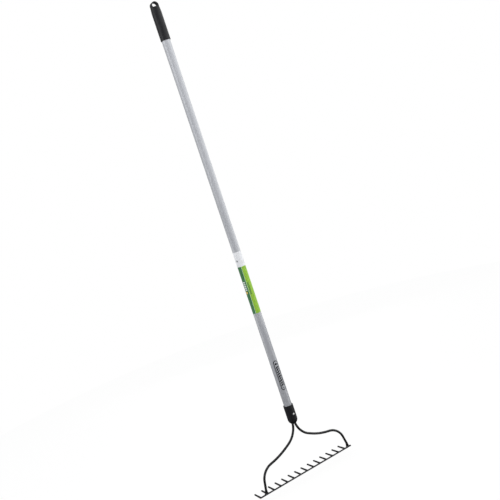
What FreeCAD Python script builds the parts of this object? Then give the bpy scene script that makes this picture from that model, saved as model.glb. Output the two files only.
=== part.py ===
import FreeCAD, Part
import math
import os

# Bow rake with a fibreglass handle. Lengths are in millimetres and angles in degrees.
# +Z runs up the handle to the hang loop, +X runs along the comb, and the tines point along +Y.
# The origin is on the handle's axis, level with the flat top of the grip, at the centre of the loop.
# A "drop" is a distance below the origin, so it is a place on -Z.

# Handle tube: fibreglass, a little thicker at its upper end
TUBE_OD = 26.2
TUBE_WALL = 3.0
TUBE_LENGTH = 1372.0
TUBE_TOP_DROP = 11.0
THICK_END_OD = 27.0
THICK_END_DROP = 124.0
TAPER_END_DROP = 223.0

# Grip: a moulded vinyl sleeve with a closed top and a soft shoulder. A half-round band stands on the
# top as the hang loop, and its opening runs on down into the top as a notch with a flat floor.
GRIP_OD = 31.2
GRIP_LENGTH = 107.5
GRIP_SHOULDER_LENGTH = 26.0
GRIP_TOP_R = 13.4
GRIP_RIM_CHAMFER = 0.6
GRIP_TOP_EDGE_ROUND = 1.1
LOOP_OUTER_R = 12.2
LOOP_OPENING_R = 9.6
LOOP_WIDTH = 16.0
LOOP_FOOT_DEPTH = 8.0
LOOP_EDGE_ROUND = 0.9
OPENING_FLOOR_DROP = 4.1

# Label: a card wrapped round the tube
LABEL_TOP_DROP = 794.0
LABEL_LENGTH = 208.0
LABEL_THICKNESS = 0.4

# Ferrule: a moulded sleeve with a rounded lower end that closes on the tangs
FERRULE_OD = 32.6
FERRULE_TOP_DROP = 1328.5
FERRULE_LENGTH = 63.5
FERRULE_NOSE_LENGTH = 14.0
FERRULE_NOSE_END_R = 9.8
FERRULE_RIM_CHAMFER = 0.8
TANG_SLOT_CLEARANCE = 0.3

# Plug: a wooden core that fills the lower end of the tube around the tangs
PLUG_LENGTH = 60.0

# Rivet: goes through the ferrule, the tube, the plug and both tangs, on a level line through the
# handle's axis that is turned a little from Y
RIVET_DROP = 1359.3
RIVET_TURN = 10.0
RIVET_SHANK_R = 2.4
RIVET_HEAD_R = 3.7
RIVET_HEAD_HEIGHT = 2.0
RIVET_HEAD_SEAT = 15.8

# Bow: two bent rods, side by side in the ferrule. These are the corner points of the right rod's
# centreline, from its upper end in the plug to its foot. Each corner between has a bend radius.
ROD_OD = 7.9
TANG_TOP = (ROD_OD / 2, 0.0, -1333.0)
BOW_CORNERS = (
    (ROD_OD / 2, 1.9, -1431.4),
    (84.5, 10.5, -1478.0),
    (155.0, 7.3, -1489.5),
)
BOW_BEND_RADII = (79.0, 180.0, 52.0)
LEG_FOOT = (170.1, 4.9, -1569.0)

# Foot: the end of each rod, flared out from round to a broad oval and welded to the bar all round
FOOT_BASE = (168.6, 8.0, -1569.0)
FOOT_LENGTH = 18.0
FOOT_HALF_WIDTH = 7.6
FOOT_HALF_THICKNESS = 4.8
FOOT_WAIST = 0.42
FOOT_WAIST_HALF_WIDTH = 4.9
FOOT_WAIST_HALF_THICKNESS = 4.0
WELD_REACH = 1.5
WELD_HEIGHT = 1.6

# Comb: a flat bar that slopes down towards the tines, and tines of the same thickness that meet
# its lower edge flush, follow its slope and then bend up to dip only slightly at their points.
# The outer sides of the two end tines are level with the ends of the bar.
BAR_LENGTH = 359.0
BAR_WIDTH = 25.0
BAR_THICKNESS = 4.8
BAR_CORNER_R = 4.0
BAR_EDGE_ROUND = 0.5
BAR_CENTRE_Y = 11.7
BAR_CENTRE_DROP = 1570.3
COMB_SLOPE = 27.5
TINE_COUNT = 14
TINE_PITCH = 27.2
TINE_WIDTH = 5.4
TINE_CORNER_R = 1.0
TINE_ROOT_FILLET = 2.4
TINE_ROOT_LENGTH = 24.4
TINE_BEND_R = 22.0
TINE_DIP = 3.3
TINE_POINT_LENGTH = 41.8
TINE_TIP_WIDTH = 4.5
TINE_TIP_THICKNESS = 4.1
TINE_TIP_BLUNTING = 1.4

V = FreeCAD.Vector
ORIGIN = V(0, 0, 0)
X_AXIS = V(1, 0, 0)
Y_AXIS = V(0, 1, 0)
Z_AXIS = V(0, 0, 1)

TUBE_R = TUBE_OD / 2
THICK_END_R = THICK_END_OD / 2
GRIP_R = GRIP_OD / 2
FERRULE_R = FERRULE_OD / 2
ROD_R = ROD_OD / 2
TUBE_BOTTOM_DROP = TUBE_TOP_DROP + TUBE_LENGTH

# The comb's own frame has its origin in the middle of the bar, Y down the slope and Z off its upper face
COMB_PLACE = FreeCAD.Placement(
    V(0, BAR_CENTRE_Y, -BAR_CENTRE_DROP), FreeCAD.Rotation(X_AXIS, -COMB_SLOPE)
)


def turned(edges):
    """Solid of revolution about the handle's axis, from a closed outline in the XZ plane."""
    face = Part.Face(Part.Wire(edges))
    return face.revolve(ORIGIN, Z_AXIS, 360)


def turned_polygon(radius_drop_pairs):
    """Solid of revolution from straight lines between (radius, drop) corners."""
    corners = [V(radius, 0, -drop) for radius, drop in radius_drop_pairs]
    return turned(Part.makePolygon(corners + corners[:1]).Edges)


def shoulder_arc(side_end, tip):
    """Arc in the XZ plane that leaves a straight side parallel to Z and ends at the tip."""
    step_in = side_end.x - tip.x
    length = tip.z - side_end.z
    arc_r = (step_in ** 2 + length ** 2) / (2 * step_in)
    half_turn = math.asin(length / arc_r) / 2
    middle = side_end + V(arc_r * (math.cos(half_turn) - 1), 0, arc_r * math.sin(half_turn))
    return Part.Arc(side_end, middle, tip).toShape()


def rod_along_y(radius, y_start, y_end, drop):
    """Cylinder parallel to Y on the handle's axis."""
    return Part.makeCylinder(radius, y_end - y_start, V(0, y_start, -drop), Y_AXIS)


def ellipse_wire(centre, half_x, half_y):
    """Level ellipse, longer along X than along Y."""
    ellipse = Part.Ellipse(centre + V(half_x, 0, 0), centre + V(0, half_y, 0), centre)
    return Part.Wire(ellipse.toShape())


def handle_tube():
    bore_r = TUBE_R - TUBE_WALL
    tube = turned_polygon([
        (bore_r, TUBE_TOP_DROP),
        (THICK_END_R, TUBE_TOP_DROP),
        (THICK_END_R, THICK_END_DROP),
        (TUBE_R, TAPER_END_DROP),
        (TUBE_R, TUBE_BOTTOM_DROP),
        (bore_r, TUBE_BOTTOM_DROP),
    ])
    return tube.cut(rivet_hole())


def above(shape, height):
    """The part of a shape above a level."""
    box = shape.BoundBox
    corner = V(box.XMin, box.YMin, height)
    return shape.common(Part.makeBox(box.XLength, box.YLength, box.ZMax - height, corner))


def hang_loop():
    """Half-round band with soft edges, on a straight foot that sinks into the grip's shoulder."""
    band = above(rod_along_y(LOOP_OUTER_R, -LOOP_WIDTH / 2, LOOP_WIDTH / 2, 0), 0)
    foot = Part.makeBox(2 * LOOP_OUTER_R, LOOP_WIDTH, LOOP_FOOT_DEPTH)
    foot.translate(V(-LOOP_OUTER_R, -LOOP_WIDTH / 2, -LOOP_FOOT_DEPTH))
    loop = band.fuse(foot).removeSplitter()
    side_edges = [
        edge for edge in loop.Edges
        if edge.BoundBox.YLength < 0.01 and edge.BoundBox.ZMax > 0.01 - LOOP_FOOT_DEPTH
    ]
    return loop.makeFillet(LOOP_EDGE_ROUND, side_edges)


def loop_opening():
    """Round opening through the loop and the top of the grip, cut off by its flat floor."""
    return above(rod_along_y(LOOP_OPENING_R, -GRIP_R, GRIP_R, 0), -OPENING_FLOOR_DROP)


def grip():
    """Sleeve over the tube's upper end, with the loop on its flat top."""
    flat_end = V(GRIP_TOP_R - GRIP_TOP_EDGE_ROUND, 0, 0)
    shoulder_end = V(GRIP_TOP_R, 0, -GRIP_TOP_EDGE_ROUND)
    side_end = V(GRIP_R, 0, -GRIP_SHOULDER_LENGTH)
    round_centre = V(flat_end.x, 0, shoulder_end.z)
    round_middle = round_centre + V(1, 0, 1).normalize() * GRIP_TOP_EDGE_ROUND
    outline = [
        flat_end,
        V(0, 0, 0),
        V(0, 0, -TUBE_TOP_DROP),
        V(THICK_END_R, 0, -TUBE_TOP_DROP),
        V(THICK_END_R, 0, -GRIP_LENGTH),
        V(GRIP_R - GRIP_RIM_CHAMFER, 0, -GRIP_LENGTH),
        V(GRIP_R, 0, GRIP_RIM_CHAMFER - GRIP_LENGTH),
        side_end,
    ]
    edges = Part.makePolygon(outline).Edges
    edges.append(shoulder_arc(side_end, shoulder_end))
    edges.append(Part.Arc(shoulder_end, round_middle, flat_end).toShape())
    return turned(edges).fuse(hang_loop()).cut(loop_opening()).removeSplitter()


def label_sleeve():
    bottom = LABEL_TOP_DROP + LABEL_LENGTH
    return turned_polygon([
        (TUBE_R, LABEL_TOP_DROP),
        (TUBE_R + LABEL_THICKNESS, LABEL_TOP_DROP),
        (TUBE_R + LABEL_THICKNESS, bottom),
        (TUBE_R, bottom),
    ])


def ferrule():
    """Sleeve over the tube's lower end, with a rounded nose."""
    bottom = FERRULE_TOP_DROP + FERRULE_LENGTH
    side_end = V(FERRULE_R, 0, FERRULE_NOSE_LENGTH - bottom)
    nose_end = V(FERRULE_NOSE_END_R, 0, -bottom)
    outline = [
        nose_end,
        V(0, 0, -bottom),
        V(0, 0, -TUBE_BOTTOM_DROP),
        V(TUBE_R, 0, -TUBE_BOTTOM_DROP),
        V(TUBE_R, 0, -FERRULE_TOP_DROP),
        V(FERRULE_R - FERRULE_RIM_CHAMFER, 0, -FERRULE_TOP_DROP),
        V(FERRULE_R, 0, -FERRULE_TOP_DROP - FERRULE_RIM_CHAMFER),
        side_end,
    ]
    edges = Part.makePolygon(outline).Edges + [shoulder_arc(side_end, nose_end)]
    return turned(edges).cut(tang_slot()).cut(rivet())


def tang_slot():
    """Rounded slot for both tangs side by side, along the line that they leave on."""
    start = V(*TANG_TOP)
    way = V(*BOW_CORNERS[0]) - start
    slot_r = ROD_R + TANG_SLOT_CLEARANCE
    across = V(2 * start.x, 0, 0)
    side = Part.makeLine(start, start - across).extrude(way)
    slot = side.extrude(Y_AXIS * 2 * slot_r).translated(Y_AXIS * -slot_r)
    tubes = [Part.makeCylinder(slot_r, way.Length, end, way) for end in (start, start - across)]
    return slot.fuse(tubes)


def rivet_turned(shape):
    """Turns a shape about the handle's axis, from along Y to the way the rivet was driven."""
    return shape.rotate(ORIGIN, Z_AXIS, RIVET_TURN)


def rivet_hole():
    return rivet_turned(rod_along_y(RIVET_SHANK_R, -FERRULE_R, FERRULE_R, RIVET_DROP))


def rivet():
    """Solid rivet with a domed head at each end."""
    shape = rod_along_y(RIVET_SHANK_R, -RIVET_HEAD_SEAT, RIVET_HEAD_SEAT, RIVET_DROP)
    dome_r = (RIVET_HEAD_R ** 2 + RIVET_HEAD_HEIGHT ** 2) / (2 * RIVET_HEAD_HEIGHT)
    for side in (-1, 1):
        dome_centre = V(0, side * (RIVET_HEAD_SEAT + RIVET_HEAD_HEIGHT - dome_r), -RIVET_DROP)
        outside = Part.makeCylinder(
            RIVET_HEAD_R + 1, dome_r, V(0, side * RIVET_HEAD_SEAT, -RIVET_DROP), Y_AXIS * side
        )
        shape = shape.fuse(Part.makeSphere(dome_r, dome_centre).common(outside))
    return rivet_turned(shape.removeSplitter())


def tang_plug():
    plug = Part.makeCylinder(TUBE_R - TUBE_WALL, PLUG_LENGTH, V(0, 0, -TUBE_BOTTOM_DROP))
    return plug.cut(tang_slot()).cut(rivet_hole())


def bent_path(points, radii):
    """Edges of a path through corner points, with an arc of the given radius at each corner."""
    edges = []
    start = points[0]
    for before, corner, after, radius in zip(points, points[1:], points[2:], radii):
        back = (before - corner).normalize()
        ahead = (after - corner).normalize()
        half_turn = (math.pi - back.getAngle(ahead)) / 2
        tangent = radius * math.tan(half_turn)
        middle_reach = radius / math.cos(half_turn) - radius
        arc_start = corner + back * tangent
        arc_middle = corner + (back + ahead).normalize() * middle_reach
        arc_end = corner + ahead * tangent
        edges.append(Part.makeLine(start, arc_start))
        edges.append(Part.Arc(arc_start, arc_middle, arc_end).toShape())
        start = arc_end
    edges.append(Part.makeLine(start, points[-1]))
    return edges


def flared_foot(leg_end, leg_way):
    """Rod end that flares from round to a broad oval. It runs on into the bar, to be cut there."""
    base = V(*FOOT_BASE)
    neck = Part.Wire(Part.Circle(leg_end, leg_way, ROD_R).toShape())
    waist_centre = leg_end + (base - leg_end) * FOOT_WAIST
    waist = ellipse_wire(waist_centre, FOOT_WAIST_HALF_WIDTH, FOOT_WAIST_HALF_THICKNESS)
    end = ellipse_wire(base, FOOT_HALF_WIDTH, FOOT_HALF_THICKNESS)
    return Part.makeLoft([neck, waist, end], True)


def bow_rod(side):
    """One bent rod with its foot cut to sit on the bar. side is 1 for +X and -1 for -X."""
    top = V(*TANG_TOP)
    corners = [V(*corner) for corner in BOW_CORNERS]
    foot = V(*LEG_FOOT)
    leg_way = (foot - corners[-1]).normalize()
    leg_end = foot - leg_way * FOOT_LENGTH
    path = Part.Wire(bent_path([top, *corners, leg_end], BOW_BEND_RADII))
    profile = Part.Wire(Part.Circle(top, corners[0] - top, ROD_R).toShape())
    rod = path.makePipeShell([profile], True, False).fuse(flared_foot(leg_end, leg_way))
    under_bar_face = Part.makeBox(BAR_LENGTH, BAR_WIDTH, BAR_WIDTH)
    under_bar_face.translate(V(0, -BAR_WIDTH / 2, BAR_THICKNESS / 2 - BAR_WIDTH))
    rod = sided(rod.cut(place_comb(under_bar_face)), side)
    return rod.cut(rivet_hole()).removeSplitter()


def sided(shape, side):
    """The shape itself for the +X side, or its mirror image for the -X side."""
    return shape if side > 0 else shape.mirror(ORIGIN, X_AXIS)


def foot_weld(side):
    """Fillet weld all round a foot, on the bar's upper face."""
    rod = bow_rod(1)
    flat_rod = rod.copy()
    flat_rod.Placement = COMB_PLACE.inverse()
    sole = min((face.BoundBox for face in flat_rod.Faces), key=lambda box: box.ZMax)
    lean = V(0, -WELD_HEIGHT * math.tan(math.radians(COMB_SLOPE)), WELD_HEIGHT)
    half_x = sole.XLength / 2
    half_y = sole.YLength / 2
    low = ellipse_wire(sole.Center, half_x + WELD_REACH, half_y + WELD_REACH)
    high = ellipse_wire(sole.Center + lean, half_x, half_y)
    bead = place_comb(Part.makeLoft([low, high], True)).cut(rod)
    return sided(bead, side)


def place_comb(shape):
    """Moves a shape from the comb's own frame to the rake's."""
    placed = shape.copy()
    placed.Placement = COMB_PLACE.multiply(placed.Placement)
    return placed


def flat_bar():
    """The bar in the comb's own frame. Its lower edge stays square, to meet the tines flush."""
    bar = Part.makeBox(BAR_LENGTH, BAR_WIDTH, BAR_THICKNESS)
    bar.translate(V(-BAR_LENGTH / 2, -BAR_WIDTH / 2, -BAR_THICKNESS / 2))
    upper_corners = [
        edge for edge in bar.Edges
        if edge.BoundBox.ZLength > BAR_THICKNESS / 2 and edge.BoundBox.YMax < 0
    ]
    bar = bar.makeFillet(BAR_CORNER_R, upper_corners)
    rounded_edges = [
        edge for edge in bar.Edges
        if edge.BoundBox.ZLength < 0.01 and edge.BoundBox.YMin < BAR_WIDTH / 2 - 0.01
    ]
    return bar.makeFillet(BAR_EDGE_ROUND, rounded_edges)


def tine_section(centre, tilt, width, thickness):
    """Rounded rectangle across a tine, tilted about X by an angle from the bar's slope."""
    half_x = width / 2 - TINE_CORNER_R
    half_z = thickness / 2 - TINE_CORNER_R
    reach = TINE_CORNER_R * math.sqrt(0.5)
    edges = []
    start = V(-half_x, 0, -half_z - TINE_CORNER_R)
    for x_side, z_side in ((1, -1), (1, 1), (-1, 1), (-1, -1)):
        corner = V(x_side * half_x, 0, z_side * half_z)
        below_or_above = corner + V(0, 0, z_side * TINE_CORNER_R)
        beside = corner + V(x_side * TINE_CORNER_R, 0, 0)
        arc_start, arc_end = below_or_above, beside
        if x_side * z_side > 0:
            arc_start, arc_end = beside, below_or_above
        middle = corner + V(x_side * reach, 0, z_side * reach)
        edges.append(Part.makeLine(start, arc_start))
        edges.append(Part.Arc(arc_start, middle, arc_end).toShape())
        start = arc_end
    wire = Part.Wire(edges)
    wire.rotate(ORIGIN, X_AXIS, tilt)
    wire.translate(centre)
    return wire


def root_fillet(root_start, side):
    """Web in the corner between a tine's side and the bar's lower edge, with a concave fillet."""
    across = X_AXIS * side
    inside = root_start - Z_AXIS * BAR_THICKNESS / 2
    corner = inside + across * (TINE_WIDTH / 2)
    toe = corner + across * TINE_ROOT_FILLET
    top = corner + Y_AXIS * TINE_ROOT_FILLET
    arc_middle = toe + Y_AXIS * TINE_ROOT_FILLET - (across + Y_AXIS).normalize() * TINE_ROOT_FILLET
    inside_top = inside + Y_AXIS * TINE_ROOT_FILLET
    outline = Part.makePolygon([top, inside_top, inside, toe]).Edges
    outline.append(Part.Arc(toe, arc_middle, top).toShape())
    return Part.Face(Part.Wire(outline)).extrude(Z_AXIS * BAR_THICKNESS)


def flat_tine(x):
    """One tine in the comb's own frame: root, bend and a slightly tapered, blunt point."""
    root_start = V(x, BAR_WIDTH / 2, 0)
    section = Part.Face(tine_section(root_start, 0, TINE_WIDTH, BAR_THICKNESS))
    root = section.extrude(Y_AXIS * TINE_ROOT_LENGTH)
    bend_angle = COMB_SLOPE - TINE_DIP
    bend_centre = root_start + Y_AXIS * TINE_ROOT_LENGTH + Z_AXIS * TINE_BEND_R
    bend = section.translated(Y_AXIS * TINE_ROOT_LENGTH).revolve(bend_centre, X_AXIS, bend_angle)
    turn = math.radians(bend_angle)
    point_way = V(0, math.cos(turn), math.sin(turn))
    point_start = bend_centre + V(0, math.sin(turn), -math.cos(turn)) * TINE_BEND_R
    blunting_start = point_start + point_way * (TINE_POINT_LENGTH - TINE_TIP_BLUNTING)
    tip = point_start + point_way * TINE_POINT_LENGTH
    blunt_width = TINE_TIP_WIDTH - TINE_TIP_BLUNTING
    blunt_thickness = TINE_TIP_THICKNESS - TINE_TIP_BLUNTING
    sections = [
        tine_section(point_start, bend_angle, TINE_WIDTH, BAR_THICKNESS),
        tine_section(blunting_start, bend_angle, TINE_TIP_WIDTH, TINE_TIP_THICKNESS),
        tine_section(tip, bend_angle, blunt_width, blunt_thickness),
    ]
    point = Part.makeLoft(sections, True, True)
    room = BAR_LENGTH / 2 - TINE_WIDTH / 2 - TINE_ROOT_FILLET
    webs = [root_fillet(root_start, side) for side in (1, -1) if side * x < room]
    return root.fuse([bend, point, *webs]).removeSplitter()


def tine_places():
    """Centre of each tine along X, from -X to +X."""
    first = -(TINE_COUNT - 1) / 2 * TINE_PITCH
    return [first + index * TINE_PITCH for index in range(TINE_COUNT)]


def nodes():
    parts = {
        "handle_tube": handle_tube(),
        "grip": grip(),
        "label_sleeve": label_sleeve(),
        "ferrule": ferrule(),
        "tang_plug": tang_plug(),
        "rivet": rivet(),
        "bow_rod_left": bow_rod(-1),
        "bow_rod_right": bow_rod(1),
        "foot_weld_left": foot_weld(-1),
        "foot_weld_right": foot_weld(1),
        "back_bar": place_comb(flat_bar()),
    }
    for number, x in enumerate(tine_places(), start=1):
        parts[f"tine_{number:02d}"] = place_comb(flat_tine(x))
    return parts


def main():
    os.makedirs("parts", exist_ok=True)
    for name, shape in nodes().items():
        shape.exportStep(f"parts/{name}.step")
        print(name, "valid" if shape.isValid() else "INVALID", f"{shape.Volume / 1000:.2f} cm3")


main()
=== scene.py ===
import math
import random

import bmesh
import bpy
from mathutils import Matrix, Vector


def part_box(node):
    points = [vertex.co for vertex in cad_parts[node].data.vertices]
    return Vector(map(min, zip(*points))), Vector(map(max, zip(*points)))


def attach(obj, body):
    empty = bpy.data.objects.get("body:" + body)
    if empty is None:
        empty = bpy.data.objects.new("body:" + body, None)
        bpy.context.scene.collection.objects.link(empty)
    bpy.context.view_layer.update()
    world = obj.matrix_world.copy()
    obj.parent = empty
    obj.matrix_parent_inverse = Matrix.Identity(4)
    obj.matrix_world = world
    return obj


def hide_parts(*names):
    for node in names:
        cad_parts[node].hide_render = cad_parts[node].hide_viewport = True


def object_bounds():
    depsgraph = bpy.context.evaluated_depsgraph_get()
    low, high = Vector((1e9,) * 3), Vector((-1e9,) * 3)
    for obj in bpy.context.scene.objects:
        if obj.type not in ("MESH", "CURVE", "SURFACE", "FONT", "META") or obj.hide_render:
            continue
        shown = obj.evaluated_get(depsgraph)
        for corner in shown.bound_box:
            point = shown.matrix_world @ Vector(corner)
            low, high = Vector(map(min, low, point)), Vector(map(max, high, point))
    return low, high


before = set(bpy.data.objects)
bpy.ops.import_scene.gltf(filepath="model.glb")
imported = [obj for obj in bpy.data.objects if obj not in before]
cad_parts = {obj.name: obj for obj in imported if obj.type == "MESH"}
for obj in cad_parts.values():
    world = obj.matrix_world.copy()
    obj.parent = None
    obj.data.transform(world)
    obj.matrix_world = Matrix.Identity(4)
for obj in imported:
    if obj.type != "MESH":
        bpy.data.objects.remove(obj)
cad_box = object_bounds()

# Everything is in metres in the rake's own frame: the origin is the middle of the hang loop, +Z runs up the
# handle, +X along the comb and +Y the way the tines point.
MM = 0.001

# The side of the rake that the camera sees, as an angle round the handle from -Y towards +X.
FRONT = math.radians(-25.58)
CAMERA_HEIGHT_ANGLE = math.radians(7.3335)
CAMERA_ROLL = math.radians(18.372)
CAMERA_DISTANCE = 2.2211
CAMERA_AIM = Vector((0.038223, -0.018296, -0.8025))
CAMERA_LENS = 50.153

# The card label and what is printed on it. Angles are round the handle from FRONT, in degrees.
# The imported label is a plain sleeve, a little thicker than the card that replaces it.
SLEEVE_THICKNESS = 0.4 * MM
CARD_THICKNESS = 0.22 * MM
CARD_OVERLAP = 13 * MM
CARD_SEAM_ANGLE = 172
CARD_HEADER_HEIGHT = 49 * MM
CARD_SLANT = 0.0115
CARD_LAP_STEP = 3 * MM
CARD_FREE_END = 5 * MM
CARD_GAP = 0.04 * MM

# The mark printed on the tube: a pill outline round a column of plain shapes.
MARK_TOP = -1169.5 * MM
MARK_BOTTOM = -1272 * MM
MARK_WIDTH = 16.5 * MM
MARK_LINE = 2.5 * MM
MARK_ANGLE = 24
MARK_BAR_COUNT = 9
MARK_BAR_PITCH = 7.6 * MM
MARK_FIRST_BAR_DROP = 23.5 * MM
INK_HEIGHT = 0.05 * MM
INK_GAP = 0.01 * MM
SLIVER = 0.06 * MM  # corners closer together than this are merged

# Strength of the soft light that comes from the camera's right and from its left.
RIGHT_GLOW = 2.05
LEFT_GLOW = 0.56

# The weld beads, and how the comb that they lie on leans. The bead's middle runs inside the edge of
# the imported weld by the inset.
COMB_SLOPE = math.radians(27.5)
BEAD_INSET = 0.85 * MM
BEAD_HALF_WIDTH = 0.98 * MM
BEAD_RISE = 1.12 * MM
BEAD_RIPPLE = 1.5 * MM

# The Mix node gives its sockets the same names for every kind of data. These are the numbers of its
# two colour inputs and of its colour output.
MIX_FIRST_COLOUR = 6
MIX_SECOND_COLOUR = 7
MIX_RESULT_COLOUR = 2


# ---------------------------------------------------------------- materials


class Look:
    """A node material in the making: one Principled shader, and the nodes that feed it."""

    def __init__(self, name, sockets=None):
        self.material = bpy.data.materials.new(name)
        self.material.use_nodes = True
        self.tree = self.material.node_tree
        self.shader = self.tree.nodes["Principled BSDF"]
        self.place = self.add("ShaderNodeTexCoord").outputs["Object"]
        for socket, value in (sockets or {}).items():
            self.set(socket, value)

    def set(self, socket, value):
        """Gives one of the shader's inputs a value or the output of a node."""
        self.feed(self.shader.inputs[socket], value)

    def feed(self, socket, value):
        if isinstance(value, bpy.types.NodeSocket):
            self.tree.links.new(value, socket)
        else:
            socket.default_value = value

    def add(self, kind, inputs=None, **settings):
        node = self.tree.nodes.new(kind)
        for setting, value in settings.items():
            setattr(node, setting, value)
        for socket, value in (inputs or {}).items():
            self.feed(node.inputs[socket], value)
        return node

    def math(self, operation, first, second=0.0, third=0.0):
        inputs = {0: first, 1: second, 2: third}
        return self.add("ShaderNodeMath", inputs, operation=operation).outputs[0]

    def noise(self, per_metre, detail=2.0, roughness=0.5):
        """Noise between 0 and 1, with this many features to a metre along X, Y and Z."""
        scaled = self.add("ShaderNodeMapping", {"Vector": self.place, "Scale": per_metre})
        inputs = {"Vector": scaled.outputs[0], "Scale": 1.0, "Detail": detail, "Roughness": roughness}
        return self.add("ShaderNodeTexNoise", inputs).outputs["Fac"]

    def cells(self, per_metre):
        """Distance to the nearest of many scattered points, with this many points to a metre."""
        scaled = self.add("ShaderNodeMapping", {"Vector": self.place, "Scale": per_metre})
        inputs = {"Vector": scaled.outputs[0], "Scale": 1.0}
        return self.add("ShaderNodeTexVoronoi", inputs).outputs["Distance"]

    def spread(self, value, low, high, start=0.3, end=0.7):
        """Stretches a value that runs from start to end, so that it runs from low to high.
        Noise mostly stays between 0.3 and 0.7."""
        inputs = {"Value": value, "From Min": start, "From Max": end, "To Min": low, "To Max": high}
        return self.add("ShaderNodeMapRange", inputs).outputs["Result"]

    def mix(self, factor, first, second):
        """The first colour where factor is 0, the second where it is 1."""
        inputs = {"Factor": factor, MIX_FIRST_COLOUR: first, MIX_SECOND_COLOUR: second}
        return self.add("ShaderNodeMix", inputs, data_type="RGBA").outputs[MIX_RESULT_COLOUR]

    def relief(self, *layers):
        """Bump from (height between 0 and 1, depth in metres) layers, each laid on the one before."""
        normal = None
        for height, depth in layers:
            inputs = {"Height": height, "Distance": depth, "Strength": 1.0}
            if normal is not None:
                inputs["Normal"] = normal
            normal = self.add("ShaderNodeBump", inputs).outputs["Normal"]
        self.set("Normal", normal)

    def edges(self, radius):
        """About 1 where the surface turns sharply within this radius, and 0 on smooth ground."""
        rounded = self.add("ShaderNodeBevel", {"Radius": radius}, samples=6).outputs["Normal"]
        true = self.add("ShaderNodeNewGeometry").outputs["Normal"]
        along = self.add("ShaderNodeVectorMath", {0: rounded, 1: true}, operation="DOT_PRODUCT")
        return self.spread(along.outputs["Value"], 1.0, 0.0, 0.8, 0.97)


def rgb(red, green, blue):
    return (red, green, blue, 1.0)


def fibreglass():
    """A pulled fibreglass tube: long fine fibres under a thin satin gel coat, with a few cloudy patches."""
    look = Look("fibreglass", {"IOR": 1.52, "Coat Weight": 0.9, "Coat Roughness": 0.2})
    fibres = look.noise((900, 900, 9), detail=3.0)
    strands = look.noise((260, 260, 2.2), detail=2.0)
    clouds = look.noise((22, 22, 7), detail=3.0)
    specks = look.cells((420, 420, 160))
    grey = look.mix(look.spread(clouds, 0, 1), rgb(0.45, 0.461, 0.492), rgb(0.48, 0.489, 0.52))
    grey = look.mix(look.spread(fibres, 0, 0.35), grey, rgb(0.548, 0.554, 0.582))
    grey = look.mix(look.spread(strands, 0, 0.3, 0.5, 0.75), grey, rgb(0.38, 0.388, 0.41))
    grey = look.mix(look.spread(specks, 0.25, 0, 0.0, 0.16), grey, rgb(0.3, 0.305, 0.32))
    look.set("Base Color", grey)
    look.set("Roughness", look.spread(strands, 0.3, 0.44))
    look.relief((strands, 0.02 * MM), (fibres, 0.01 * MM))
    return look.material


def grip_vinyl():
    """Dipped black vinyl: soft sheen, a fine skin, and a little dust caught in it."""
    look = Look("grip_vinyl", {"IOR": 1.5, "Specular IOR Level": 0.27})
    skin = look.noise((2300, 2300, 2300), detail=3.0)
    flow = look.noise((120, 120, 34), detail=2.0)
    dust = look.noise((900, 900, 700), detail=4.0, roughness=0.7)
    black = look.mix(look.spread(flow, 0, 1), rgb(0.012, 0.012, 0.0135), rgb(0.018, 0.018, 0.02))
    black = look.mix(look.spread(dust, 0, 0.14, 0.55, 0.8), black, rgb(0.14, 0.14, 0.145))
    black = look.mix(look.math("MULTIPLY", look.edges(0.9 * MM), 0.3), black, rgb(0.06, 0.06, 0.066))
    look.set("Base Color", black)
    look.set("Roughness", look.spread(skin, 0.36, 0.52))
    look.relief((flow, 0.2 * MM), (skin, 0.055 * MM))
    return look.material


def moulded_plastic():
    """Black moulded plastic with the fine spark texture of its mould, rubbed brighter at the edges."""
    look = Look("ferrule_plastic", {"IOR": 1.5, "Specular IOR Level": 0.35})
    spark = look.noise((1700, 1700, 1700), detail=3.0, roughness=0.6)
    flow = look.noise((60, 60, 25), detail=2.0)
    black = look.mix(look.spread(flow, 0, 1), rgb(0.011, 0.011, 0.013), rgb(0.017, 0.017, 0.0195))
    black = look.mix(look.math("MULTIPLY", look.edges(0.8 * MM), 0.5), black, rgb(0.07, 0.07, 0.075))
    look.set("Base Color", black)
    look.set("Roughness", look.spread(spark, 0.34, 0.5))
    look.relief((flow, 0.1 * MM), (spark, 0.07 * MM))
    return look.material


def painted_steel():
    """Satin black paint over forged steel: hammer scale under the paint, and edges rubbed thin."""
    gloss = {"IOR": 1.5, "Specular IOR Level": 0.4, "Coat Weight": 0.1, "Coat Roughness": 0.35}
    look = Look("head_steel", gloss)
    scale = look.noise((210, 210, 210), detail=3.0)
    grain = look.noise((1500, 1500, 1500), detail=3.0, roughness=0.6)
    patches = look.noise((45, 45, 45), detail=3.0)
    black = look.mix(look.spread(patches, 0, 1), rgb(0.011, 0.011, 0.012), rgb(0.019, 0.019, 0.02))
    black = look.mix(look.spread(grain, 0, 0.25, 0.6, 0.8), black, rgb(0.06, 0.058, 0.056))
    chips = look.math("MULTIPLY", look.edges(0.7 * MM), look.spread(grain, 0, 1, 0.42, 0.6))
    black = look.mix(look.math("MULTIPLY", chips, 0.55), black, rgb(0.17, 0.165, 0.16))
    look.set("Base Color", black)
    look.set("Roughness", look.spread(patches, 0.3, 0.46))
    look.relief((scale, 0.16 * MM), (grain, 0.04 * MM))
    return look.material


def plated_steel():
    """Bright matt plating with fine turning marks and small dents from the rivet tool."""
    look = Look("rivet_steel", {"Metallic": 0.2})
    scratches = look.noise((2600, 300, 2600), detail=3.0)
    dents = look.noise((700, 700, 700), detail=1.0)
    silver = look.mix(look.spread(scratches, 0, 1), rgb(0.8, 0.8, 0.79), rgb(0.95, 0.95, 0.94))
    look.set("Base Color", silver)
    look.set("Roughness", look.spread(scratches, 0.4, 0.55))
    look.relief((dents, 0.1 * MM), (scratches, 0.02 * MM))
    return look.material


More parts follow.
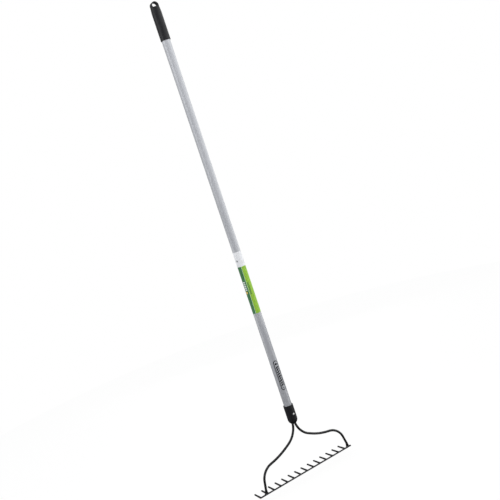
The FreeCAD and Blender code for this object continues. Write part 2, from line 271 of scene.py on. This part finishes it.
def turned_wood():
    """Pale turned hardwood: growth rings through the plug, darker pores along the grain."""
    look = Look("plug_wood", {"IOR": 1.5})
    rings = look.noise((620, 90, 16), detail=2.0)
    pores = look.noise((2600, 2600, 120), detail=2.0)
    tan = look.mix(look.spread(rings, 0, 1), rgb(0.5, 0.35, 0.2), rgb(0.68, 0.51, 0.32))
    tan = look.mix(look.spread(pores, 0, 0.6, 0.58, 0.75), tan, rgb(0.3, 0.19, 0.1))
    look.set("Base Color", tan)
    look.set("Roughness", look.spread(pores, 0.55, 0.75))
    look.relief((rings, 0.08 * MM), (pores, 0.06 * MM))
    return look.material


def printing_ink():
    """Dark grey ink, a little worn and thin in places, so that the tube shows through."""
    look = Look("printing_ink", {"IOR": 1.5})
    thin = look.noise((1500, 1500, 700), detail=3.0, roughness=0.7)
    worn = look.spread(thin, 0, 0.5, 0.45, 0.75)
    grey = look.mix(worn, rgb(0.014, 0.015, 0.018), rgb(0.055, 0.057, 0.063))
    look.set("Base Color", grey)
    look.set("Roughness", look.spread(thin, 0.4, 0.6))
    look.relief((thin, 0.02 * MM))
    return look.material


def printed_card(tube_radius, top, bottom):
    """Satin printed card: a white header over a dark green and a lime field, with plain marks on them."""
    look = Look("label_card", {"IOR": 1.5, "Specular IOR Level": 0.3})
    split = look.add("ShaderNodeSeparateXYZ", {0: look.place}).outputs
    turn = look.math("ARCTAN2", split[0], look.math("MULTIPLY", split[1], -1.0))
    turn = look.math("SUBTRACT", turn, FRONT)
    turn = look.math("WRAP", turn, math.pi, -math.pi)
    across = look.math("MULTIPLY", turn, tube_radius)
    height = split[2]

    def at(angle):
        return math.radians(angle) * tube_radius

    def ramp(value, edge, soft=0.12 * MM):
        """0 below the edge and 1 above it, over a short soft step."""
        return look.spread(value, 0, 1, edge - soft, edge + soft)

    def patch(across_mark, height_mark, centre, size, corner):
        """1 inside a rounded rectangle of this size, and 0 outside."""
        beyond = []
        for value, middle, extent in zip((across_mark, height_mark), centre, size):
            away = look.math("ABSOLUTE", look.math("SUBTRACT", value, middle))
            past = look.math("MAXIMUM", look.math("SUBTRACT", away, extent / 2 - corner), 0.0)
            beyond.append(look.math("MULTIPLY", past, past))
        distance = look.math("SQRT", look.math("ADD", *beyond))
        return look.math("SUBTRACT", 1.0, ramp(distance, corner))

    def column(centre, size, corner, count, pitch):
        """A column of count equal patches, pitch apart, with its middle at centre."""
        low = centre[1] - count * pitch / 2
        folded = look.math("WRAP", look.math("SUBTRACT", height, low), pitch, 0.0)
        shape = patch(across, folded, (centre[0], pitch / 2), size, corner)
        span = patch(across, height, centre, (size[0] * 2, count * pitch), 0.1 * MM)
        return look.math("MULTIPLY", shape, span)

    fields_top = top - CARD_HEADER_HEIGHT
    middle = (fields_top + bottom) / 2
    slant = look.math("MULTIPLY", look.math("SUBTRACT", height, middle), CARD_SLANT)
    slanted = look.math("SUBTRACT", across, slant)
    edge = at(-10.5)

    white = rgb(0.9, 0.905, 0.93)
    dark_green = rgb(0.03, 0.175, 0.045)
    lime = rgb(0.32, 0.6, 0.03)
    pale = rgb(0.62, 0.82, 0.66)
    orange = rgb(0.8, 0.5, 0.09)
    grey = rgb(0.09, 0.09, 0.1)

    fields = look.mix(ramp(slanted, edge), dark_green, lime)
    line = patch(slanted, height, (edge, middle), (1.1 * MM, 1.0), 0.1 * MM)
    fields = look.mix(line, fields, pale)
    panel_place = (at(128), middle)
    panel = patch(across, height, panel_place, (14 * MM, 130 * MM), 1.5 * MM)
    fields = look.mix(panel, fields, white)
    rules = column(panel_place, (10 * MM, 0.7 * MM), 0.3 * MM, 24, 5 * MM)
    fields = look.mix(rules, fields, grey)
    pale_bars = column((at(-44), -908 * MM), (7.6 * MM, 4.6 * MM), 1.4 * MM, 5, 6.4 * MM)
    fields = look.mix(look.math("MULTIPLY", pale_bars, 0.85), fields, white)
    dot = patch(across, height, (at(-50), -930 * MM), (7 * MM, 9 * MM), 3.4 * MM)
    fields = look.mix(dot, fields, orange)
    dark_bars = column((at(10.5), -917 * MM), (4.4 * MM, 4.1 * MM), 0.8 * MM, 8, 5 * MM)
    fields = look.mix(look.math("MULTIPLY", dark_bars, 0.95), fields, dark_green)

    spot = patch(across, height, (at(-37), -823 * MM), (4.4 * MM, 6 * MM), 1.8 * MM)
    header = look.mix(spot, white, grey)
    dots = column((at(30), -829 * MM), (2.2 * MM, 2.2 * MM), 1.0 * MM, 3, 4 * MM)
    header = look.mix(look.math("MULTIPLY", dots, 0.3), header, orange)

    printed = look.mix(ramp(height, fields_top), fields, header)
    fibres = look.noise((1300, 1300, 1300), detail=4.0, roughness=0.65)
    ink = look.noise((500, 500, 500), detail=3.0)
    printed = look.mix(look.spread(ink, 0, 0.05), printed, white)
    look.set("Base Color", printed)
    look.set("Roughness", look.spread(fibres, 0.4, 0.56))
    look.relief((ink, 0.015 * MM), (fibres, 0.015 * MM))
    return look.material


# ---------------------------------------------------------------- pieces made here


def smooth_step(value):
    value = min(max(value, 0.0), 1.0)
    return value * value * (3 - 2 * value)


def on_cylinder(angle, radius, height):
    """A point at this angle round the handle, measured from the side that the camera sees."""
    turn = FRONT + angle
    return Vector((radius * math.sin(turn), -radius * math.cos(turn), height))


def piece_from(name, shape, material):
    """Makes a smooth piece from a bmesh, which is used up, and fixes it to the rake."""
    mesh = bpy.data.meshes.new(name)
    shape.to_mesh(mesh)
    shape.free()
    mesh.materials.append(material)
    for polygon in mesh.polygons:
        polygon.use_smooth = True
    piece = bpy.data.objects.new(name, mesh)
    bpy.context.scene.collection.objects.link(piece)
    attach(piece, "root")
    return piece


def thicken(piece, thickness):
    """Gives a sheet its thickness, outwards, with crisp edges."""
    thick = piece.modifiers.new("thickness", "SOLIDIFY")
    thick.thickness = thickness
    thick.offset = 1.0
    crisp = piece.modifiers.new("crisp_edges", "EDGE_SPLIT")
    crisp.split_angle = math.radians(40)


def grid_faces(shape, rows):
    """Joins rows of vertices with quads."""
    for low, high in zip(rows, rows[1:]):
        for a, b, c, d in zip(low, low[1:], high[1:], high):
            shape.faces.new((a, b, c, d))


def card_label(tube_radius, top, bottom):
    """A card wrapped once round the tube, its end lapped over its start and lifting at the seam."""
    random.seed(7)
    inner = tube_radius + CARD_GAP
    turn_length = math.tau * inner
    sheet_length = turn_length + CARD_OVERLAP
    columns = 150
    lines = 70
    seam = math.radians(CARD_SEAM_ANGLE)
    wave_starts = [random.uniform(0, math.tau) for _ in range(4)]
    shape = bmesh.new()
    rows = []
    for line in range(lines + 1):
        share = line / lines
        height = bottom + (top - bottom) * share
        near_end = smooth_step(1 - min(share, 1 - share) * 14)
        row = []
        for column in range(columns + 1):
            along = sheet_length * column / columns
            lapped = smooth_step((along - turn_length) / CARD_LAP_STEP + 1)
            free = smooth_step((along - sheet_length) / CARD_FREE_END + 1)
            angle = seam + along / inner
            lift = lapped * (CARD_THICKNESS + 0.03 * MM)
            lift += free * (0.04 + 0.048 * math.sin(share * 21 + wave_starts[0])) * MM
            end_wave = wave_starts[2] if share > 0.5 else wave_starts[1]
            lift += near_end * (0.03 + 0.03 * math.sin(3 * angle + end_wave)) * MM
            wavy = 0.18 * MM * math.sin(2 * angle + wave_starts[3]) * near_end
            row.append(shape.verts.new(on_cylinder(angle, inner + max(lift, 0), height + wavy)))
        rows.append(row)
    grid_faces(shape, rows)
    card = piece_from("card_label", shape, printed_card(tube_radius, top, bottom))
    thicken(card, CARD_THICKNESS)
    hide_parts("label_sleeve")


def rounded_bar(centre, width, height, lean=0.0):
    """The outline of a bar with round ends, its long side across and leaning upwards by lean."""
    radius = height / 2
    outline = []
    for side in (1, -1):
        for step in range(9):
            angle = math.radians(-90 * side + 180 * step / 8)
            x = side * (width / 2 - radius) + radius * math.cos(angle)
            y = radius * math.sin(angle)
            outline.append((centre[0] + x, centre[1] + y + lean * x))
    return outline


def pill_loop(centre, width, length):
    """The outline of an upright bar with round ends."""
    radius = width / 2
    loop = []
    for end in (1, -1):
        for step in range(25):
            angle = math.radians(90 - 90 * end + 180 * step / 24)
            x = radius * math.cos(angle)
            y = end * (length / 2 - radius) + radius * math.sin(angle)
            loop.append((centre[0] + x, centre[1] + y))
    return loop


def tube_mark(tube_radius):
    """Ink on the tube: a pill outline round a dot, a column of leaning bars and a short line."""
    middle = (MARK_TOP + MARK_BOTTOM) / 2
    length = MARK_TOP - MARK_BOTTOM
    centre = math.radians(MARK_ANGLE) * tube_radius
    shape = bmesh.new()
    outer = [shape.verts.new((*p, 0)) for p in pill_loop((centre, middle), MARK_WIDTH, length)]
    inner_loop = pill_loop((centre, middle), MARK_WIDTH - 2 * MARK_LINE, length - 2 * MARK_LINE)
    inner = [shape.verts.new((*p, 0)) for p in inner_loop]
    for step in range(len(outer)):
        after = (step + 1) % len(outer)
        shape.faces.new((outer[step], outer[after], inner[after], inner[step]))
    marks = [rounded_bar((centre, MARK_TOP - 12 * MM), 8 * MM, 7.6 * MM)]
    for step in range(MARK_BAR_COUNT):
        place = (centre, MARK_TOP - MARK_FIRST_BAR_DROP - MARK_BAR_PITCH * step)
        marks.append(rounded_bar(place, (10.2 - 1.8 * (step % 2)) * MM, 5.4 * MM, lean=0.42))
    marks.append(rounded_bar((centre, MARK_BOTTOM + 8.5 * MM), 7 * MM, 2 * MM))
    for outline in marks:
        shape.faces.new([shape.verts.new((*p, 0)) for p in outline])
    # a cut every millimetre lets the flat mark follow the round tube
    for step in range(-9, 10):
        everything = shape.verts[:] + shape.edges[:] + shape.faces[:]
        cut = Vector((centre + step * MM, 0, 0))
        bmesh.ops.bisect_plane(shape, geom=everything, plane_co=cut, plane_no=(1, 0, 0))
    bmesh.ops.remove_doubles(shape, verts=shape.verts[:], dist=SLIVER)
    for corner in shape.verts:
        corner.co = on_cylinder(corner.co.x / tube_radius, tube_radius + INK_GAP, corner.co.y)
    mark = piece_from("tube_mark", shape, printing_ink())
    thicken(mark, INK_HEIGHT)


def weld_bead(side, material):
    """A rippled weld bead round the foot of one bow rod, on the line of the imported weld."""
    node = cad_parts[f"foot_weld_{side}"]
    corners = [v.co for v in node.data.vertices]
    middle = sum(corners, Vector()) / len(corners)
    flat = Matrix.Rotation(COMB_SLOPE, 3, "X")
    level = [flat @ (c - middle) for c in corners]
    ground = min(p.z for p in level)
    steps = 220
    shares = 10
    sectors = 72
    reach = [0.0] * sectors
    for p in level:
        if p.z < ground + 0.2 * MM:
            sector = int((math.atan2(p.y, p.x) % math.tau) / math.tau * sectors) % sectors
            reach[sector] = max(reach[sector], math.hypot(p.x, p.y))
    known = [(sector, far) for sector, far in enumerate(reach) if far > 0]

    def outline(angle):
        """How far out the weld's edge is at this angle, between the nearest known sectors."""
        here = (angle % math.tau) / math.tau * sectors
        first, last = known[0], known[-1]
        before = max([k for k in known if k[0] + 0.5 <= here] or [(last[0] - sectors, last[1])])
        after = min([k for k in known if k[0] + 0.5 > here] or [(first[0] + sectors, first[1])])
        share = (here - before[0] - 0.5) / (after[0] - before[0])
        return before[1] + (after[1] - before[1]) * share

    rough = [outline(math.tau * step / steps) for step in range(steps)]
    even = [sum(rough[(step + k) % steps] for k in range(-7, 8)) / 15 for step in range(steps)]
    random.seed(11 if side == "left" else 12)
    drift = random.uniform(0, math.tau)
    shape = bmesh.new()
    rings = []
    travelled = 0.0
    for step in range(steps):
        angle = math.tau * step / steps
        centre_reach = even[step] - BEAD_INSET
        travelled += centre_reach * math.tau / steps
        ripple = (travelled / BEAD_RIPPLE) % 1.0
        size = 1.0 + 0.13 * (1 - ripple) + 0.06 * math.sin(3 * angle + drift)
        out = Vector((math.cos(angle), math.sin(angle), 0))
        ring = []
        for share in range(shares):
            turn = math.tau * share / shares
            width = BEAD_HALF_WIDTH * size * math.cos(turn)
            rise = BEAD_RISE * size * math.sin(turn)
            ring.append(shape.verts.new(out * (centre_reach + width) + Vector((0, 0, ground + rise))))
        rings.append(ring)
    for step, ring in enumerate(rings):
        following = rings[(step + 1) % steps]
        for share in range(shares):
            after = (share + 1) % shares
            shape.faces.new((ring[share], following[share], following[after], ring[after]))
    back = flat.inverted()
    for corner in shape.verts:
        corner.co = back @ corner.co + middle
    bmesh.ops.recalc_face_normals(shape, faces=shape.faces[:])
    bead = piece_from(f"weld_bead_{side}", shape, material)
    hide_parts(f"foot_weld_{side}")


# ---------------------------------------------------------------- studio


def area_light(name, place, target, size, power, colour):
    """A soft box of this size in metres and power in watts, facing the target."""
    data = bpy.data.lights.new(name, "AREA")
    data.shape = "RECTANGLE"
    data.size, data.size_y = size
    data.energy = power
    data.color = colour
    light = bpy.data.objects.new(name, data)
    light.location = place
    light.rotation_mode = "QUATERNION"
    light.rotation_quaternion = (target - place).to_track_quat("-Z", "Y")
    bpy.context.scene.collection.objects.link(light)
    return light


def white_world(right):
    """White where the camera looks past the rake. Its light is a broad glow from the right and a
    dimmer one from the left, like two large soft boxes, so round pieces are darkest in the middle."""
    world = bpy.data.worlds.new("studio")
    bpy.context.scene.world = world
    world.use_nodes = True
    tree = world.node_tree

    def added(kind, **settings):
        node = tree.nodes.new(kind)
        for setting, value in settings.items():
            setattr(node, setting, value)
        return node

    seen = tree.nodes["Background"]
    seen.inputs["Color"].default_value = rgb(1, 1, 1)
    seen.inputs["Strength"].default_value = 1.0
    given = added("ShaderNodeBackground")
    given.inputs["Color"].default_value = rgb(0.98, 0.99, 1.0)
    direction = added("ShaderNodeTexCoord").outputs["Generated"]
    along = added("ShaderNodeVectorMath", operation="DOT_PRODUCT")
    along.inputs[1].default_value = right
    tree.links.new(direction, along.inputs[0])
    glows = []
    for strength in (RIGHT_GLOW, -LEFT_GLOW):
        glow = added("ShaderNodeMath", operation="MULTIPLY")
        glow.inputs[1].default_value = strength
        tree.links.new(along.outputs["Value"], glow.inputs[0])
        glows.append(glow.outputs[0])
    brighter = added("ShaderNodeMath", operation="MAXIMUM")
    tree.links.new(glows[0], brighter.inputs[0])
    tree.links.new(glows[1], brighter.inputs[1])
    tree.links.new(brighter.outputs[0], given.inputs["Strength"])
    path = added("ShaderNodeLightPath")
    either = added("ShaderNodeMixShader")
    tree.links.new(path.outputs["Is Camera Ray"], either.inputs[0])
    tree.links.new(given.outputs[0], either.inputs[1])
    tree.links.new(seen.outputs[0], either.inputs[2])
    tree.links.new(either.outputs[0], tree.nodes["World Output"].inputs["Surface"])


def studio_floor(height):
    """A round pale floor that the tines stand on. The camera sees it white, with only a hint of shadow."""
    shape = bmesh.new()
    bmesh.ops.create_circle(shape, cap_ends=True, radius=2.4, segments=96)
    for corner in shape.verts:
        corner.co.z = height
    mesh = bpy.data.meshes.new("studio_floor")
    shape.to_mesh(mesh)
    shape.free()
    material = bpy.data.materials.new("studio_floor")
    material.use_nodes = True
    tree = material.node_tree
    shader = tree.nodes["Principled BSDF"]
    shader.inputs["Base Color"].default_value = rgb(0.06, 0.06, 0.06)
    shader.inputs["Roughness"].default_value = 0.9
    shader.inputs["Specular IOR Level"].default_value = 0.0
    glow = tree.nodes.new("ShaderNodeEmission")
    glow.inputs["Strength"].default_value = 0.96
    both = tree.nodes.new("ShaderNodeAddShader")
    path = tree.nodes.new("ShaderNodeLightPath")
    either = tree.nodes.new("ShaderNodeMixShader")
    tree.links.new(shader.outputs[0], both.inputs[0])
    tree.links.new(glow.outputs[0], both.inputs[1])
    tree.links.new(path.outputs["Is Camera Ray"], either.inputs[0])
    tree.links.new(shader.outputs[0], either.inputs[1])
    tree.links.new(both.outputs[0], either.inputs[2])
    tree.links.new(either.outputs[0], tree.nodes["Material Output"].inputs["Surface"])
    mesh.materials.append(material)
    floor = bpy.data.objects.new("studio_floor", mesh)
    bpy.context.scene.collection.objects.link(floor)


def photo_camera():
    """Puts the camera at the front of the rake, rolled so that the handle leans across the picture.
    Returns the way it is turned."""
    away = Vector((
        math.sin(FRONT) * math.cos(CAMERA_HEIGHT_ANGLE),
        -math.cos(FRONT) * math.cos(CAMERA_HEIGHT_ANGLE),
        math.sin(CAMERA_HEIGHT_ANGLE),
    ))
    data = bpy.data.cameras.new("camera")
    data.lens = CAMERA_LENS
    camera = bpy.data.objects.new("camera", data)
    upright = (-away).to_track_quat("-Z", "Y").to_matrix()
    turned = upright @ Matrix.Rotation(-CAMERA_ROLL, 3, "Z")
    camera.matrix_world = Matrix.Translation(CAMERA_AIM + away * CAMERA_DISTANCE) @ turned.to_4x4()
    bpy.context.scene.collection.objects.link(camera)
    bpy.context.scene.camera = camera
    return turned


# ---------------------------------------------------------------- the scene

steel = painted_steel()
looks = {
    "handle_tube": fibreglass(),
    "grip": grip_vinyl(),
    "ferrule": moulded_plastic(),
    "tang_plug": turned_wood(),
    "rivet": plated_steel(),
}
for name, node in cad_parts.items():
    node.data.materials.clear()
    node.data.materials.append(looks.get(name, steel))

label_low, label_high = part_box("label_sleeve")
tube_radius = label_high.x - SLEEVE_THICKNESS
card_label(tube_radius, label_high.z, label_low.z)
tube_mark(tube_radius)
for side in ("left", "right"):
    weld_bead(side, steel)

camera_turn = photo_camera()
right = camera_turn @ Vector((1, 0, 0))
towards = camera_turn @ Vector((0, 0, 1))

upper = Vector((0, 0, -0.3))
lower = Vector((0, 0, -1.4))
left_place = upper - right * 1.3 + towards * 0.75
front_place = upper + towards * 1.8
area_light("left_light", left_place, upper, (0.9, 1.9), 10.5, (0.97, 0.98, 1))
area_light("low_left_light", lower - right * 0.85, lower, (0.6, 0.6), 1.5, (0.97, 0.98, 1))
area_light("low_right_light", lower + right * 0.85, lower, (0.6, 0.6), 1.7, (0.97, 0.98, 1))
fills = [
    area_light("front_light", front_place, upper * 2, (1.6, 1.6), 14, (0.98, 0.99, 1)),
    area_light("back_light", upper - towards * 1.8, upper * 2, (1.6, 1.6), 10, (1, 1, 1)),
]
for fill in fills:
    fill.visible_glossy = False

white_world(right)
studio_floor(cad_box[0].z)
bpy.context.scene.view_settings.view_transform = "Standard"
